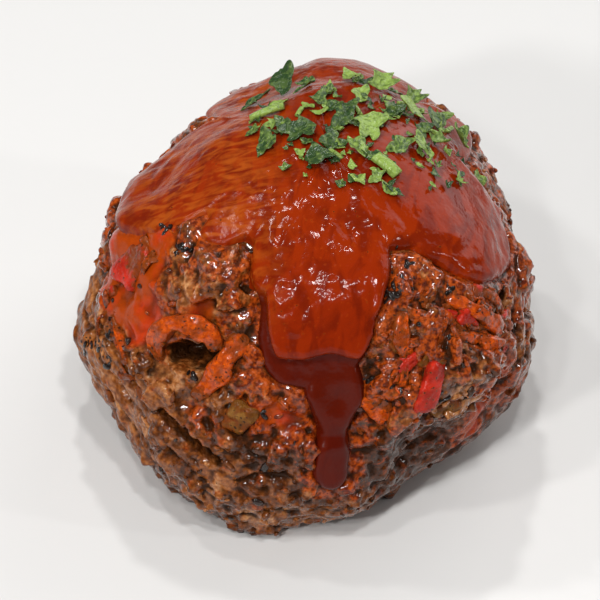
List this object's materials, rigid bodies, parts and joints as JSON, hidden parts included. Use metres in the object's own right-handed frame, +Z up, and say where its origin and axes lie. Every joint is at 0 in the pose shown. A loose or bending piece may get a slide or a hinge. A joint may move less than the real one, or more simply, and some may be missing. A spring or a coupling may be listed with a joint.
{
  "type": "meatloaf",
  "caption": "Single-portion round meatloaf with a tapered foot, crumbly sides with vegetable pieces, and a cap of tomato sauce with chopped herbs.",
  "frame": {"origin": "middle of the bounding box in plan, on the surface that the loaf's foot rests on", "axes": "+Z up; -Y towards the front, where the sauce runs down furthest; +X to the right seen from the front"},
  "size_m": [0.0806, 0.087, 0.0626],
  "materials": {
    "baked_meat": "moist, crumbly browned meat",
    "tomato_sauce": "thick glossy tomato sauce"
  },
  "bodies": {
    "root": {"meatloaf": "baked_meat", "tomato_sauce": "tomato_sauce"}
  },
  "joints": []
}
